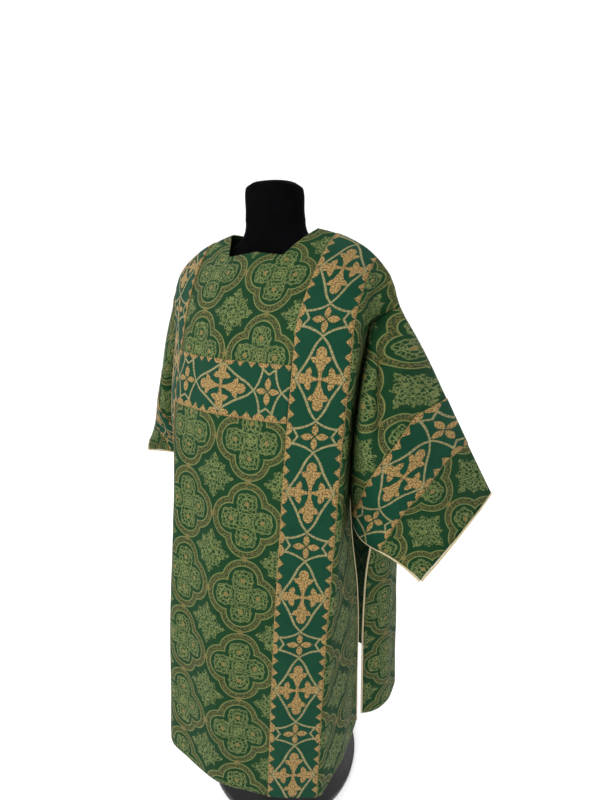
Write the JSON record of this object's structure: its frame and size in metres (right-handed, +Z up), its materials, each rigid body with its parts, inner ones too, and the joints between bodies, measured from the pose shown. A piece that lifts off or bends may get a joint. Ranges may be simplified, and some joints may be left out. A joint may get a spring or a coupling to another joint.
{
  "type": "dalmatic on a dress form",
  "caption": "Wide-sleeved brocade church vestment with woven bands, open at the sides, worn on a limbless dress form on a round stand.",
  "frame": {"origin": "centre of the stand's foot, on the floor", "axes": "+Z up, the garment's front faces -Y, the wearer's left side is +X"},
  "size_m": [0.9163, 0.53, 1.538],
  "materials": {
    "brocade": "green brocade with a gold thread figure",
    "woven_band": "dark green woven band with a gold figure",
    "piping": "pale gold cord edging",
    "form_cover": "matt black jersey cover",
    "stand_metal": "satin black powder coat"
  },
  "bodies": {
    "root": {"front_panel": "brocade", "back_panel": "brocade", "left_sleeve": "brocade", "right_sleeve": "brocade", "front_left_band": "woven_band", "front_right_band": "woven_band", "front_cross_band": "woven_band", "back_left_band": "woven_band", "back_right_band": "woven_band", "back_cross_band": "woven_band", "left_sleeve_band": "woven_band", "right_sleeve_band": "woven_band", "front_left_piping": "piping", "front_right_piping": "piping", "back_left_piping": "piping", "back_right_piping": "piping", "left_cuff_piping": "piping", "left_sleeve_front_piping": "piping", "left_sleeve_back_piping": "piping", "right_cuff_piping": "piping", "right_sleeve_front_piping": "piping", "right_sleeve_back_piping": "piping", "form_torso": "form_cover", "form_pole": "stand_metal", "form_base": "stand_metal"}
  },
  "joints": []
}
